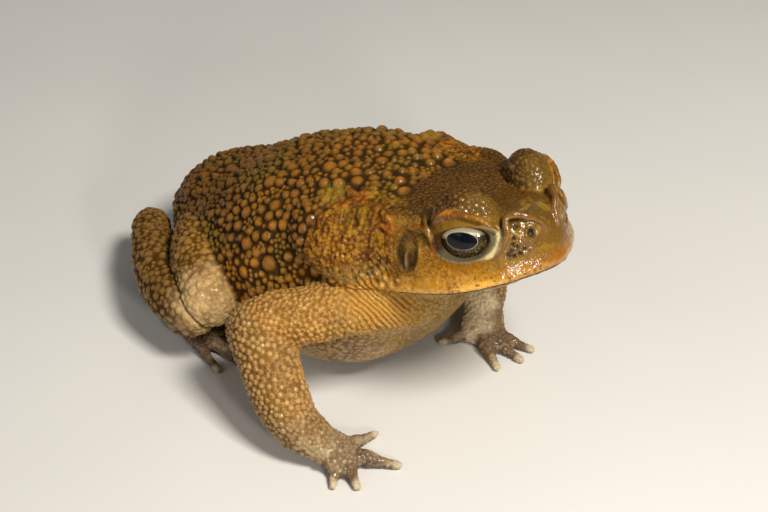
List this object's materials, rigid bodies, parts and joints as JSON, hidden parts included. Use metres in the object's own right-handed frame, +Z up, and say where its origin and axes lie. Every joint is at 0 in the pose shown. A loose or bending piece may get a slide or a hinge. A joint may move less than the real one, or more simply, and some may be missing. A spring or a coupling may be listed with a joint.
{
  "type": "cane toad",
  "caption": "Cane toad sitting alert with raised head, warty back, swollen parotoid glands and turned-in hands; a still life-size museum model.",
  "frame": {"origin": "middle of the toad's box, on the floor that it sits on", "axes": "+X the way the toad faces, +Y its left, +Z up"},
  "size_m": [0.1258, 0.0966, 0.0653],
  "materials": {
    "back_skin": "moist warty skin, golden ochre with dark brown between the warts",
    "head_skin": "moist skin drawn tight over bone, olive brown crown and golden lips",
    "jaw_skin": "moist pale granular skin",
    "limb_skin": "moist tan skin with small warts",
    "gland_skin": "moist pitted golden brown gland skin",
    "ear_skin": "thin smooth brown eardrum",
    "eye": "polished dark brown eye with a gold-rimmed level pupil"
  },
  "bodies": {
    "root": {"eye_l": "eye", "eye_r": "eye", "finger_l1": "limb_skin", "finger_l2": "limb_skin", "finger_l3": "limb_skin", "finger_l4": "limb_skin", "finger_r1": "limb_skin", "finger_r2": "limb_skin", "finger_r3": "limb_skin", "finger_r4": "limb_skin", "foot_l": "limb_skin", "foot_r": "limb_skin", "forearm_l": "limb_skin", "forearm_r": "limb_skin", "hand_l": "limb_skin", "hand_r": "limb_skin", "head": "head_skin", "lower_jaw": "jaw_skin", "parotoid_gland_l": "gland_skin", "parotoid_gland_r": "gland_skin", "shank_l": "limb_skin", "shank_r": "limb_skin", "tarsus_l": "limb_skin", "tarsus_r": "limb_skin", "thigh_l": "limb_skin", "thigh_r": "limb_skin", "toe_l1": "limb_skin", "toe_l2": "limb_skin", "toe_l3": "limb_skin", "toe_l4": "limb_skin", "toe_l5": "limb_skin", "toe_r1": "limb_skin", "toe_r2": "limb_skin", "toe_r3": "limb_skin", "toe_r4": "limb_skin", "toe_r5": "limb_skin", "torso": "back_skin", "tympanum_l": "ear_skin", "tympanum_r": "ear_skin", "upper_arm_l": "limb_skin", "upper_arm_r": "limb_skin"}
  },
  "joints": []
}
